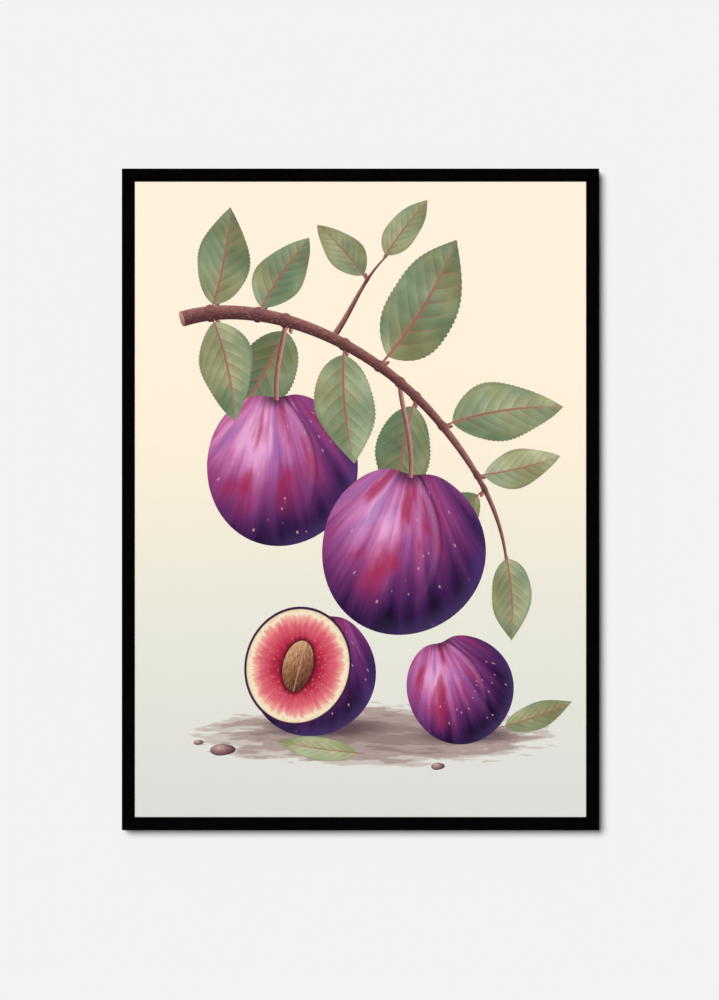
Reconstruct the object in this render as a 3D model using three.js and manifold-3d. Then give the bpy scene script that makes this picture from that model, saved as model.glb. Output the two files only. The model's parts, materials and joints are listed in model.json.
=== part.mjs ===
// A framed art print for the wall: four mitred rails of slim black wood, and in their rebate a sheet of
// clear acrylic, a paper print, a filler card and a back board, held in by turn buttons on screws.
// Millimetres, +Z up. The picture faces -Y and the wall is on the +Y side.
// The origin is the middle notch of the top sawtooth hanger, where the wall's nail carries the frame.
import * as THREE from 'three';
import { mergeVertices } from 'three/addons/utils/BufferGeometryUtils.js';
import Module from 'manifold-3d';

// The print and what lies behind the lip with it, from front to back
const PRINT_WIDTH = 500;
const PRINT_HEIGHT = 700;
const GLAZING_THICK = 1.25;
const PRINT_THICK = 0.25;
const FILLER_THICK = 7.5;
const BOARD_THICK = 3;

// The moulding: its face is what shows from the front, and its lip covers the edge of the print
const RAIL_FACE = 14;
const RAIL_DEPTH = 15;
const LIP_REACH = 5.5;
const SHEET_PLAY = 0.5;
const ARRIS = 0.5;

const STRIP = RAIL_FACE - LIP_REACH;
const PACK_THICK = GLAZING_THICK + PRINT_THICK + FILLER_THICK + BOARD_THICK;
const HALF_WIDTH = PRINT_WIDTH / 2 + SHEET_PLAY + STRIP;
const HALF_HEIGHT = PRINT_HEIGHT / 2 + SHEET_PLAY + STRIP;

// V-nails: bent steel strips across the mitres
const V_NAIL_ARM = 7;
const V_NAIL_THICK = 0.75;
const V_NAIL_DEPTH = 10;
const V_NAIL_INSET = 2.5;
const V_NAIL_SUNK = 0.25;
const POCKET_GAP = 0.25;

// Turn buttons, seen from behind: a round head on the screw, tapering to a rounded tip that turns up
const BUTTON_HEAD_R = 4;
const BUTTON_TIP_R = 3;
const BUTTON_REACH = 12.5;
const BUTTON_THICK = 1.25;
const BUTTON_HOLE_R = 1.625;
const BUTTON_LIP_RISE = 1;
const BUTTON_LIP_RUN = 2.5;
const BUTTON_LIP_LENGTH = 2;
const BUTTON_ALONG_SHORT = 150;
const BUTTON_ALONG_LONG = 200;

// Fixings: wood screws with a cross slot, and small nails. A head and a swivelling button keep the play
// clear of what lies under them, and holes are wider than what stands in them by the gap all round.
const PLAY = 0.125;
const HOLE_GAP = 0.3;
const SCREW_SHANK_R = 1.25;
const SCREW_HEAD_R = 2.75;
const SCREW_HEAD_FLAT_R = 1.5;
const SCREW_HEAD_THICK = 1.5;
const SCREW_HEAD_RIM = 0.5;
const SCREW_LENGTH = 9;
const SCREW_POINT = 2;
const SLOT_LENGTH = 3;
const SLOT_WIDTH = 0.625;
const SLOT_DEPTH = 0.75;
const NAIL_SHANK_R = 0.75;
const NAIL_HEAD_R = 1.75;
const NAIL_HEAD_FLAT_R = 0.75;
const NAIL_HEAD_THICK = 0.625;
const NAIL_HEAD_RIM = 0.25;
const NAIL_LENGTH = 8;
const NAIL_POINT = 1.5;

// Sawtooth hangers: two flat ears and a raised middle with teeth along its lower edge
const HANGER_LENGTH = 45;
const HANGER_HEIGHT = 8;
const HANGER_THICK = 1;
const HANGER_RISE = 1.25;
const HANGER_EAR = 8;
const HANGER_BEND = 2;
const HANGER_MARGIN = 0.25;
const HANGER_CORNER = 1;
const TOOTH_PITCH = 3;
const TOOTH_DEPTH = 2;
const NOTCHES = 7;
const NAIL_PLACES = [-18.5, 18.5];

// Wall bumpers
const BUMPER_R = 4;
const BUMPER_FLAT_R = 2.5;
const BUMPER_THICK = 3.5;
const BUMPER_RIM = 1.5;
const BUMPER_FROM_CORNER = 25;

const ROUND_SIDES = 24;
const SMALL_SIDES = 16;
const SHOULDER_STEPS = 3;

const wasm = await Module();
wasm.setup();

// Solids: a closed geometry becomes a solid that can be cut, and comes back as a geometry
function solidOf(geometry) {
  const bare = geometry.clone();
  bare.deleteAttribute('normal');
  bare.deleteAttribute('uv');
  const merged = mergeVertices(bare);
  return new wasm.Manifold(new wasm.Mesh({
    numProp: 3,
    vertProperties: Float32Array.from(merged.attributes.position.array),
    triVerts: Uint32Array.from(merged.index.array),
  }));
}

function geometryOf(solid) {
  const mesh = solid.getMesh();
  const geometry = new THREE.BufferGeometry();
  geometry.setAttribute('position', new THREE.BufferAttribute(mesh.vertProperties, 3));
  geometry.setIndex(new THREE.BufferAttribute(mesh.triVerts, 1));
  geometry.computeVertexNormals();
  return geometry;
}

function cut(geometry, tools) {
  const left = tools.reduce((solid, tool) => solid.subtract(solidOf(tool)), solidOf(geometry));
  return geometryOf(left);
}

function common(first, second) {
  return geometryOf(solidOf(first).intersect(solidOf(second)));
}

// An outline of [x, z] points, given thickness from y = front to y = back
function plate(outline, front, back) {
  const shape = new THREE.Shape(outline.map(([x, z]) => new THREE.Vector2(x, z)));
  const geometry = new THREE.ExtrudeGeometry(shape, { depth: back - front, bevelEnabled: false });
  const layFlat = new THREE.Matrix4().set(1, 0, 0, 0, 0, 0, -1, back, 0, 1, 0, 0, 0, 0, 0, 1);
  return geometry.applyMatrix4(layFlat);
}

// A section of [z, y] points, drawn out along X to half on each side of the middle
function bar(section, half) {
  const shape = new THREE.Shape(section.map(([z, y]) => new THREE.Vector2(z, y)));
  const geometry = new THREE.ExtrudeGeometry(shape, { depth: 2 * half, bevelEnabled: false });
  const turnAlongX = new THREE.Matrix4().set(0, 0, -1, half, 0, 1, 0, 0, 1, 0, 0, 0, 0, 0, 0, 1);
  return geometry.applyMatrix4(turnAlongX);
}

// A profile of [radius, y] points from front to back, turned about the Y axis
function turned(profile, sides) {
  return new THREE.LatheGeometry(profile.map(([r, y]) => new THREE.Vector2(r, y)), sides);
}

// A rounded shoulder: points up and in from [wide, low] to [narrow, high] on a quarter of an ellipse
function shoulder([wide, low], [narrow, high]) {
  return Array.from({ length: SHOULDER_STEPS + 1 }, (_, i) => {
    const angle = ((Math.PI / 2) * i) / SHOULDER_STEPS;
    return [narrow + (wide - narrow) * Math.cos(angle), low + (high - low) * Math.sin(angle)];
  });
}

// A straight round tool for a blind hole of the given depth in the back of a rail
function drill(radius, depth, x, z) {
  const clear = 1;
  const tool = new THREE.CylinderGeometry(radius, radius, depth + clear, ROUND_SIDES);
  return tool.translate(x, (clear - depth) / 2, z);
}

// Materials, as the photograph shows the finish or as such a frame has it
function finish(color, roughness, metalness) {
  return new THREE.MeshStandardMaterial({ color, roughness, metalness });
}

const BLACK_WOOD = finish(0x080808, 0.45, 0);
const ACRYLIC = finish(0xf4f8f6, 0.05, 0);
ACRYLIC.transparent = true;
ACRYLIC.opacity = 0.2;
const PAPER = finish(0xf5ead6, 0.85, 0);
const CARD = finish(0xb4966a, 0.9, 0);
const FIBREBOARD = finish(0x8f6c47, 0.8, 0);
const ZINC_STEEL = finish(0xb9bbbe, 0.35, 1);
const RUBBER = finish(0x1b1b1b, 0.75, 0);

function piece(name, geometry, material) {
  const mesh = new THREE.Mesh(geometry, material.clone());
  mesh.name = name;
  return mesh;
}

// V-nails. A corner's own frame has its origin at the outer corner, with the frame towards -X and -Z.
// With a gap this is the pocket in the wood, which is open at the back.
function vNailGeometry(gap) {
  const outer = -V_NAIL_INSET + gap;
  const inner = -V_NAIL_INSET - V_NAIL_THICK - gap;
  const end = -V_NAIL_INSET - V_NAIL_ARM - gap;
  const outline = [
    [outer, outer], [end, outer], [end, inner], [inner, inner], [inner, end], [outer, end],
  ];
  const head = gap > 0 ? gap : -V_NAIL_SUNK;
  return plate(outline, -V_NAIL_SUNK - V_NAIL_DEPTH - gap, head);
}

function quarterTurns(turns) {
  const cos = [1, 0, -1, 0][turns];
  const sin = [0, 1, 0, -1][turns];
  return new THREE.Matrix4().set(cos, 0, sin, 0, 0, 1, 0, 0, -sin, 0, cos, 0, 0, 0, 0, 1);
}

function placed(object, x, z, turns) {
  const place = new THREE.Matrix4().makeTranslation(x, 0, z).multiply(quarterTurns(turns));
  object.applyMatrix4(place);
  return object;
}

// Rails. A rail's own frame has its origin at the middle of its outer back edge, with X along the rail,
// Z pointing out of the frame and Y towards the wall. Both ends are mitred at 45 degrees.
function mouldingSection() {
  const lipBack = -PACK_THICK;
  return [
    [0, 0],
    [-STRIP, 0],
    [-STRIP, lipBack],
    [-RAIL_FACE, lipBack],
    [-RAIL_FACE, -RAIL_DEPTH + ARRIS],
    [-RAIL_FACE + ARRIS, -RAIL_DEPTH],
    [-ARRIS, -RAIL_DEPTH],
    [0, -RAIL_DEPTH + ARRIS],
  ];
}

function mitredBar(half) {
  const geometry = bar(mouldingSection(), half);
  const position = geometry.attributes.position;
  for (let i = 0; i < position.count; i += 1) {
    const x = position.getX(i);
    position.setX(i, x + Math.sign(x) * position.getZ(i));
  }
  return geometry;
}

function railGeometry(half, holes) {
  const rightPocket = placed(vNailGeometry(POCKET_GAP), half, 0, 0);
  const leftPocket = placed(vNailGeometry(POCKET_GAP), -half, 0, 3);
  return cut(mitredBar(half), [rightPocket, leftPocket, ...holes]);
}

// Turn buttons, in a rail's frame with the screw at the origin and the tip towards -Z
function buttonOutline() {
  const slope = Math.asin((BUTTON_HEAD_R - BUTTON_TIP_R) / BUTTON_REACH);
  const outline = [];
  const arc = (radius, centre, from, to, steps) => {
    for (let i = 0; i <= steps; i += 1) {
      const angle = from + ((to - from) * i) / steps;
      outline.push([radius * Math.cos(angle), centre + radius * Math.sin(angle)]);
    }
  };
  arc(BUTTON_HEAD_R, 0, -slope, Math.PI + slope, ROUND_SIDES / 2);
  arc(BUTTON_TIP_R, -BUTTON_REACH, Math.PI + slope, 2 * Math.PI - slope, SMALL_SIDES / 2);
  return outline;
}

function buttonGeometry() {
  const front = PLAY;
  const back = PLAY + BUTTON_THICK;
  const tip = -BUTTON_REACH - BUTTON_TIP_R;
  const lip = tip + BUTTON_LIP_LENGTH;
  const foot = lip + BUTTON_LIP_RUN;
  const bent = bar([
    [BUTTON_HEAD_R, front], [foot, front], [lip, front + BUTTON_LIP_RISE], [tip, front + BUTTON_LIP_RISE],
    [tip, back + BUTTON_LIP_RISE], [lip, back + BUTTON_LIP_RISE], [foot, back], [BUTTON_HEAD_R, back],
  ], BUTTON_HEAD_R);
  const trimmed = common(bent, plate(buttonOutline(), 0, back + 2 * BUTTON_LIP_RISE));
  const hole = new THREE.CylinderGeometry(BUTTON_HOLE_R, BUTTON_HOLE_R, 4 * BUTTON_THICK, ROUND_SIDES);
  return cut(trimmed, [hole]);
}

// Screws and nails, with the rail's back face at y = 0 and the head clear of what it holds
function screwGeometry() {
  const under = 2 * PLAY + BUTTON_THICK;
  const top = under + SCREW_HEAD_THICK;
  const screw = turned([
    [0, -SCREW_LENGTH],
    [SCREW_SHANK_R, -SCREW_LENGTH + SCREW_POINT],
    [SCREW_SHANK_R, under],
    [SCREW_HEAD_R, under],
    ...shoulder([SCREW_HEAD_R, under + SCREW_HEAD_RIM], [SCREW_HEAD_FLAT_R, top]),
    [0, top],
  ], ROUND_SIDES);
  const slot = (width, length) => new THREE.BoxGeometry(width, 2 * SLOT_DEPTH, length).translate(0, top, 0);
  return cut(screw, [slot(SLOT_WIDTH, SLOT_LENGTH), slot(SLOT_LENGTH, SLOT_WIDTH)]);
}

function nailGeometry() {
  const under = HANGER_THICK + PLAY;
  const top = under + NAIL_HEAD_THICK;
  return turned([
    [0, -NAIL_LENGTH],
    [NAIL_SHANK_R, -NAIL_LENGTH + NAIL_POINT],
    [NAIL_SHANK_R, under],
    [NAIL_HEAD_R, under],
    ...shoulder([NAIL_HEAD_R, under + NAIL_HEAD_RIM], [NAIL_HEAD_FLAT_R, top]),
    [0, top],
  ], SMALL_SIDES);
}

// Sawtooth hangers, in a rail's frame with the middle of the hanger's upper edge at the origin
function hangerGeometry() {
  const half = HANGER_LENGTH / 2;
  const ear = half - HANGER_EAR;
  const middle = ear - HANGER_BEND;
  const profile = [
    [-half, 0], [-ear, 0], [-middle, HANGER_RISE], [middle, HANGER_RISE], [ear, 0], [half, 0],
    [half, HANGER_THICK], [ear, HANGER_THICK], [middle, HANGER_RISE + HANGER_THICK],
    [-middle, HANGER_RISE + HANGER_THICK], [-ear, HANGER_THICK], [-half, HANGER_THICK],
  ];
  const side = new THREE.Shape(profile.map(([x, y]) => new THREE.Vector2(x, y)));
  const strip = new THREE.ExtrudeGeometry(side, { depth: HANGER_HEIGHT, bevelEnabled: false });
  strip.translate(0, 0, -HANGER_HEIGHT);

  const corner = HANGER_CORNER;
  const low = -HANGER_HEIGHT;
  const outline = [
    [half - corner, 0], [-half + corner, 0], [-half, -corner], [-half, low + corner], [-half + corner, low],
  ];
  for (let i = 0; i < NOTCHES; i += 1) {
    const x = (i - (NOTCHES - 1) / 2) * TOOTH_PITCH;
    outline.push([x - TOOTH_PITCH / 2, low], [x, low + TOOTH_DEPTH]);
  }
  outline.push(
    [(NOTCHES * TOOTH_PITCH) / 2, low], [half - corner, low], [half, low + corner], [half, -corner],
  );
  const toothed = common(strip, plate(outline, -HANGER_RISE, 2 * (HANGER_RISE + HANGER_THICK)));
  const hole = (x) => drill(NAIL_SHANK_R + HOLE_GAP, 2 * HANGER_THICK, x, low / 2);
  return cut(toothed, NAIL_PLACES.map((x) => hole(x).translate(0, HANGER_THICK, 0)));
}

// Wall bumpers: a rubber foot with a flat that rests on the wall
function bumperGeometry() {
  return turned([
    [0, 0],
    [BUMPER_R, 0],
    ...shoulder([BUMPER_R, BUMPER_RIM], [BUMPER_FLAT_R, BUMPER_THICK]),
    [0, BUMPER_THICK],
  ], ROUND_SIDES);
}

// The sheets in the rebate, from the front: glazing, print, filler card and back board
function sheets() {
  const stack = [
    ['glazing', GLAZING_THICK, ACRYLIC],
    ['print_sheet', PRINT_THICK, PAPER],
    ['filler_card', FILLER_THICK, CARD],
    ['back_board', BOARD_THICK, FIBREBOARD],
  ];
  let front = -PACK_THICK;
  return stack.map(([name, thick, material]) => {
    const sheet = new THREE.BoxGeometry(PRINT_WIDTH, thick, PRINT_HEIGHT);
    sheet.translate(0, front + thick / 2, 0);
    front += thick;
    return piece(name, sheet, material);
  });
}

// One side of the frame in its rail's own frame: the rail, its turn buttons with their screws, and its
// hanger with its nails if it has one. ends names what lies at -X and at +X.
function side({ name, half, along, ends, hanger }) {
  const group = new THREE.Group();
  const centre = -STRIP / 2;
  const hangerTop = -HANGER_MARGIN;
  const nailZ = hangerTop - HANGER_HEIGHT / 2;
  const places = [-along, along];
  const holes = places.map((x) => drill(SCREW_SHANK_R + HOLE_GAP, SCREW_LENGTH + HOLE_GAP, x, centre));
  if (hanger) {
    const nailHole = (x) => drill(NAIL_SHANK_R + HOLE_GAP, NAIL_LENGTH + HOLE_GAP, x, nailZ);
    holes.push(...NAIL_PLACES.map(nailHole));
  }
  group.add(piece(`frame_rail_${name}`, railGeometry(half, holes), BLACK_WOOD));

  places.forEach((x, i) => {
    const button = buttonGeometry().translate(x, 0, centre);
    const screw = screwGeometry().translate(x, 0, centre);
    group.add(piece(`turn_button_${name}_${ends[i]}`, button, ZINC_STEEL));
    group.add(piece(`button_screw_${name}_${ends[i]}`, screw, ZINC_STEEL));
  });

  if (hanger) {
    const plateGeometry = hangerGeometry().translate(0, 0, hangerTop);
    group.add(piece(`hanger_${name}`, plateGeometry, ZINC_STEEL));
    NAIL_PLACES.forEach((x, i) => {
      const nail = nailGeometry().translate(x, 0, nailZ);
      group.add(piece(`hanger_nail_${name}_${ends[i]}`, nail, ZINC_STEEL));
    });
  }
  return group;
}

const SIDES = [
  { name: 'top', half: HALF_WIDTH, along: BUTTON_ALONG_SHORT, ends: ['left', 'right'], hanger: true },
  { name: 'right', half: HALF_HEIGHT, along: BUTTON_ALONG_LONG, ends: ['upper', 'lower'], hanger: true },
  { name: 'bottom', half: HALF_WIDTH, along: BUTTON_ALONG_SHORT, ends: ['right', 'left'], hanger: false },
  { name: 'left', half: HALF_HEIGHT, along: BUTTON_ALONG_LONG, ends: ['lower', 'upper'], hanger: false },
];

// The four corners, in the same order of quarter turns as the sides: each has a V-nail
const CORNERS = [
  { name: 'top_right', x: HALF_WIDTH, z: HALF_HEIGHT },
  { name: 'bottom_right', x: HALF_WIDTH, z: -HALF_HEIGHT },
  { name: 'bottom_left', x: -HALF_WIDTH, z: -HALF_HEIGHT },
  { name: 'top_left', x: -HALF_WIDTH, z: HALF_HEIGHT },
];

// The whole frame, first about its own middle with the rails' back faces at y = 0
const frame = new THREE.Group();
frame.add(...sheets());

SIDES.forEach((rail, turns) => {
  const outX = [0, HALF_WIDTH, 0, -HALF_WIDTH][turns];
  const outZ = [HALF_HEIGHT, 0, -HALF_HEIGHT, 0][turns];
  frame.add(placed(side(rail), outX, outZ, turns));
});

CORNERS.forEach(({ name, x, z }, turns) => {
  frame.add(placed(piece(`v_nail_${name}`, vNailGeometry(0), ZINC_STEEL), x, z, turns));
  const bumperX = x - Math.sign(x) * BUMPER_FROM_CORNER;
  const bumperZ = z - (Math.sign(z) * STRIP) / 2;
  frame.add(piece(`bumper_${name}`, bumperGeometry().translate(bumperX, 0, bumperZ), RUBBER));
});

// Then shifted so that the middle notch of the top hanger is the origin
const notchZ = HALF_HEIGHT - HANGER_MARGIN - HANGER_HEIGHT + TOOTH_DEPTH;
const notchY = HANGER_RISE + HANGER_THICK / 2;
frame.position.set(0, -notchY, -notchZ);

const framedPrint = new THREE.Group();
framedPrint.add(frame);

export default framedPrint;
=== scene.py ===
# %% [markdown]
# # A framed art print
# This lesson dresses a slim black picture frame in Blender. The frame comes as a finished model of plain
# solids at its real size: four mitred rails, a sheet of clear acrylic, the print, a filler card, a back
# board, and the steel and rubber on the back. Here each of them gets its edges, its finish and, on the
# print, its picture. The first cell loads the solids and keeps their size.

import json
import math

import bmesh
import bpy
from mathutils import Matrix, Vector
from mathutils.geometry import delaunay_2d_cdt, interpolate_bezier


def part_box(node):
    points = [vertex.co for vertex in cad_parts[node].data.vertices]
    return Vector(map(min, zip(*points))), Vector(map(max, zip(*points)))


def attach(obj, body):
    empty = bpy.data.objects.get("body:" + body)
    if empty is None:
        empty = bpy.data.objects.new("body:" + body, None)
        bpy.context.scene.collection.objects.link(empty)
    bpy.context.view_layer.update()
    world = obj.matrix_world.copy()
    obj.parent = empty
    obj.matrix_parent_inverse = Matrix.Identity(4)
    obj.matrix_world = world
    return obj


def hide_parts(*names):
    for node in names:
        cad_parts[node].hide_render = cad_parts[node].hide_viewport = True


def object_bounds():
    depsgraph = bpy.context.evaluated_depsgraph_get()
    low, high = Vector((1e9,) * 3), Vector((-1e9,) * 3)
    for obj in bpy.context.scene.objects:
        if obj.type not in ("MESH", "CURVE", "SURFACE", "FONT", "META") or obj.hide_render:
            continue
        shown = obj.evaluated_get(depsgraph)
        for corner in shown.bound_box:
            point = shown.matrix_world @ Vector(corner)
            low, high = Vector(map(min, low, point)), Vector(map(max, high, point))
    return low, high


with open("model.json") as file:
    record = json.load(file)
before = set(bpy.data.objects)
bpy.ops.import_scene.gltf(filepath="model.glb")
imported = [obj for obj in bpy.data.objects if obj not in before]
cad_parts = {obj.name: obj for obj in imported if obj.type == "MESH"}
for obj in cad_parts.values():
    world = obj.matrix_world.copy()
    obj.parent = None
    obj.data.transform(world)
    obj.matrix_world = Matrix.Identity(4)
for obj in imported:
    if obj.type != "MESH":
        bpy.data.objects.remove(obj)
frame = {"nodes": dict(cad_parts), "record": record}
cad_low, cad_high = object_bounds()
MM = 0.001
middle = (cad_low + cad_high) / 2
print("loaded", len(frame["nodes"]), "solids,", [round(side, 4) for side in cad_high - cad_low], "m")

# %% [markdown]
# ## The view
# The photograph looks straight at the wall, so the camera stands level with the picture and faces it
# squarely, with a long lens that keeps the sides of the frame out of sight. The frame's real width and
# height over its width and height in pixels give the millimetres that one pixel covers, and that gives
# the distance. The frame's middle lies a pixel off the photograph's middle, so the camera does too.

# %% Camera
PHOTO_SIZE = Vector((719, 1000))
FRAME_TOP_LEFT = Vector((122.0, 168.1))
FRAME_BOTTOM_RIGHT = Vector((599.0, 830.7))
LENS = 85
SENSOR = 36

span = FRAME_BOTTOM_RIGHT - FRAME_TOP_LEFT
rails_low, rails_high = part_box("frame_rail_left")[0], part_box("frame_rail_right")[1]
outside = rails_high - rails_low
pixel = (outside.x / span.x + outside.z / span.y) / 2
off_middle = (FRAME_TOP_LEFT + FRAME_BOTTOM_RIGHT - PHOTO_SIZE) / 2 * pixel
distance = LENS / SENSOR * PHOTO_SIZE.y * pixel

scene = bpy.context.scene
camera = bpy.data.objects.new("camera", bpy.data.cameras.new("camera"))
camera.data.lens = LENS
camera.data.sensor_width = SENSOR
camera.location = (middle.x - off_middle.x, rails_low.y - distance, middle.z + off_middle.y)
camera.rotation_euler = (math.radians(90), 0, 0)
scene.collection.objects.link(camera)
scene.camera = camera
scene.view_settings.view_transform = "Standard"
print(f"one pixel covers {pixel / MM:.3f} mm, camera {distance:.3f} m in front")

# %% [markdown]
# ## Sums in a material
# A pattern is easier to read as a sum than as a drawing of boxes and wires. `Value` wraps one output of
# a node, and its operators add Math nodes, so that `1 - mask * 0.5` works in a material as it does in
# Python.

# %% Sums
def operator(operation):
    """A method that adds a Math node."""
    return lambda self, *others: self.math(operation, *others)


class Value:
    """One output of a node, for use in Python sums."""

    def __init__(self, graph, socket):
        self.graph = graph
        self.socket = socket

    def math(self, operation, *others):
        return self.graph.node("Math", dict(enumerate((self, *others))), operation=operation)

    def __rsub__(self, other):
        return self.graph.node("Math", {0: other, 1: self}, operation="SUBTRACT")

    __add__ = __radd__ = operator("ADD")
    __sub__ = operator("SUBTRACT")
    __mul__ = __rmul__ = operator("MULTIPLY")
    __truediv__ = operator("DIVIDE")
    __pow__ = operator("POWER")
    __abs__ = operator("ABSOLUTE")
    __gt__ = operator("GREATER_THAN")
    __lt__ = operator("LESS_THAN")


print("sums ready")

# %% [markdown]
# ## Colours
# Colours are picked in a paint program, whose numbers from 0 to 255 are bent to suit the eye. A
# shader reckons with amounts of light, so `linear` bends them back.

# %% Colours
def linear(red, green, blue):
    """The light that a paint program's colour stands for."""
    def light(level):
        share = level / 255
        return share / 12.92 if share < 0.04045 else ((share + 0.055) / 1.055) ** 2.4

    return light(red), light(green), light(blue)


print("mid grey gives", round(linear(128, 128, 128)[0], 3), "of the light of white")

# %% [markdown]
# ## Nodes in a material
# `Graph.node` adds any node: its settings are set first, then its sockets are filled, each with a number
# or with a wire from a `Value`. The rest are short names for the nodes that are used most. A named fade
# gives `ease` the value where a mask is nothing, the value where it is full and, unless they are 0 and 1,
# its amounts at those two. A named texture gives `noise` its fineness, how many finer layers lie over it
# and how strong they are.

# %% Nodes
class Graph:
    """The nodes of a material or of the world."""

    def __init__(self, tree):
        self.tree = tree
        tree.nodes.clear()

    def node(self, kind, sockets=None, output=0, **settings):
        made = self.tree.nodes.new("ShaderNode" + kind)
        for key, setting in settings.items():
            setattr(made, key, setting)
        for key, value in (sockets or {}).items():
            if isinstance(value, Value):
                self.tree.links.new(value.socket, made.inputs[key])
            elif isinstance(value, tuple) and made.inputs[key].type == "RGBA":
                made.inputs[key].default_value = (*value, 1)
            else:
                made.inputs[key].default_value = value
        return Value(self, made.outputs[output]) if made.outputs else made

    def mix(self, factor, first, second):
        colours = {0: factor, 6: first, 7: second}
        return self.node("Mix", colours, output=2, data_type="RGBA", clamp_factor=True)

    def ease(self, value, low, high, start=0.0, end=1.0):
        """start where a value is at low, end where it is at high, and a smooth step in between."""
        span = {"Value": value, "From Min": low, "From Max": high, "To Min": start, "To Max": end}
        return self.node("MapRange", span, interpolation_type="SMOOTHSTEP")

    def coordinates(self, scale=(1, 1, 1), turn=0.0):
        """Object coordinates, turned about Y by some degrees and then stretched."""
        place = self.node("TexCoord", output="Object")
        turned = self.node("Mapping", {"Vector": place, "Rotation": (0, math.radians(turn), 0)})
        return self.node("Mapping", {"Vector": turned, "Scale": scale})

    def join(self, x, y, z):
        return self.node("CombineXYZ", {0: x, 1: y, 2: z})

    def part(self, vector, axis):
        return self.node("SeparateXYZ", {0: vector}, output=axis)

    def noise(self, scale, detail, roughness, vector):
        sockets = {"Scale": scale, "Detail": detail, "Roughness": roughness, "Vector": vector}
        return self.node("TexNoise", sockets)

    def ramp(self, value, stops):
        """A colour for each value, from stops of a value and a paint program's colour."""
        made = self.node("ValToRGB", {"Fac": value})
        elements = made.socket.node.color_ramp.elements
        while len(elements) < len(stops):
            elements.new(1)
        for element, (place, colour) in zip(elements, stops):
            element.position = place
            element.color = (*linear(*colour), 1)
        return made


print("nodes ready")

# %% [markdown]
# ## Surfaces
# Each finish below is one function, which works out its sums and gives the shader's sockets, the height of
# its fine relief and how deep that relief is. `surface` makes a material from it.

# %% Surfaces
def blank(name):
    """A new material and its empty graph."""
    material = bpy.data.materials.new(name)
    material.use_nodes = True
    return material, Graph(material.node_tree)


def surface(name, build):
    """A material with one Principled shader, from the function that works out its sums."""
    material, graph = blank(name)
    sockets, height, depth = build(graph)
    if height is not None:
        bump = {"Height": height, "Distance": depth, "Strength": 1.0}
        sockets["Normal"] = graph.node("Bump", bump)
    shader = graph.node("BsdfPrincipled", sockets)
    graph.node("OutputMaterial", {"Surface": shader})
    return material


print("surfaces ready")

# %% [markdown]
# ## The wall and the floor
# The frame hangs on a plain wall, which touches the four rubber bumpers, high above a plain floor.

# %% Wall and floor
WALL_HALF_WIDTH = 1.3
WALL_ABOVE = 1.2
HANGING_HEIGHT = 1.5
FLOOR_REACH = 60.0


def placed(name, shape):
    """Makes a bmesh an object in the scene."""
    mesh = bpy.data.meshes.new(name)
    shape.to_mesh(mesh)
    shape.free()
    made = bpy.data.objects.new(name, mesh)
    scene.collection.objects.link(made)
    return made


def quad(name, corners):
    shape = bmesh.new()
    shape.faces.new([shape.verts.new(corner) for corner in corners])
    made = placed(name, shape)
    return made


wall_y = cad_high.y
floor_z = middle.z - HANGING_HEIGHT
wall = quad("wall", [
    (-WALL_HALF_WIDTH, wall_y, floor_z), (WALL_HALF_WIDTH, wall_y, floor_z),
    (WALL_HALF_WIDTH, wall_y, middle.z + WALL_ABOVE), (-WALL_HALF_WIDTH, wall_y, middle.z + WALL_ABOVE),
])
floor = quad("floor", [
    (-FLOOR_REACH, -FLOOR_REACH, floor_z), (FLOOR_REACH, -FLOOR_REACH, floor_z),
    (FLOOR_REACH, FLOOR_REACH, floor_z), (-FLOOR_REACH, FLOOR_REACH, floor_z),
])
print("wall at y", round(wall_y, 4), "floor at z", round(floor_z, 3))

# %% [markdown]
# ## The paint of the wall and the floor
# The wall is pale paint from the front and clear from behind, so that the back of the frame can be looked
# at, and it neither shades nor reflects light onto the back. The floor takes no part in the light on the
# frame: a mirror image of it would draw a line across the acrylic.

# %% Paint of the wall and the floor
WALL_COLOUR = (0.711, 0.711, 0.711)
FLOOR_COLOUR = (0.74, 0.74, 0.73)
FLOOR_ROUGH = 0.9


def wall_paint():
    material, graph = blank("wall_paint")
    paint = graph.node("BsdfDiffuse", {"Color": WALL_COLOUR})
    clear = graph.node("BsdfTransparent")
    behind = graph.node("NewGeometry", output="Backfacing")
    graph.node("OutputMaterial", {"Surface": graph.node("MixShader", {0: behind, 1: paint, 2: clear})})
    return material


def floor_paint(graph):
    return {"Base Color": FLOOR_COLOUR, "Roughness": FLOOR_ROUGH}, None, None


wall.data.materials.append(wall_paint())
wall.visible_shadow = False
wall.visible_diffuse = False
floor.data.materials.append(surface("floor_paint", floor_paint))
floor.visible_diffuse = False
floor.visible_glossy = False
print("paints on", wall.name, "and", floor.name)

# %% [markdown]
# ## The light
# The frame's shadow falls to the right and below only, and fades out about nine pixels from it. A broad
# soft light from the upper left does that, and a sun lamp gives it evenly: its angle sets how soft the
# shadow is, and its slope how far it falls. The sky adds a weak fill from behind the wall's plane, and is
# nearly dark in front of it, as a studio is, so that the acrylic and the lacquer stay black from the front.
# A square lamp behind the frame lights its back. The floor lies far below the picture and has a lamp of its
# own from straight above: a lamp can be linked to the pieces that it reaches.

# %% Light
SHADOW_SLOPE = 0.345
SUN_ANGLE = 31
SUN_STRENGTH = 4.28
FILL = 0.32
FILL_AHEAD = 0.03
FILL_FADE = (-0.15, 0.3)
BACKDROP = linear(242, 242, 242)
BACK_LIGHT_PLACE = Vector((1.3, 2.4, 1.1))
BACK_LIGHT_SIZE = 1.8
BACK_LIGHT_POWER = 60
FLOOR_LIGHT = 1.9


def lamp(name, kind, strength, towards, place=(0, 0, 0)):
    made = bpy.data.objects.new(name, bpy.data.lights.new(name, kind))
    made.data.energy = strength
    made.location = place
    made.rotation_euler = Vector(towards).to_track_quat("-Z", "Y").to_euler()
    scene.collection.objects.link(made)
    return made


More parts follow.
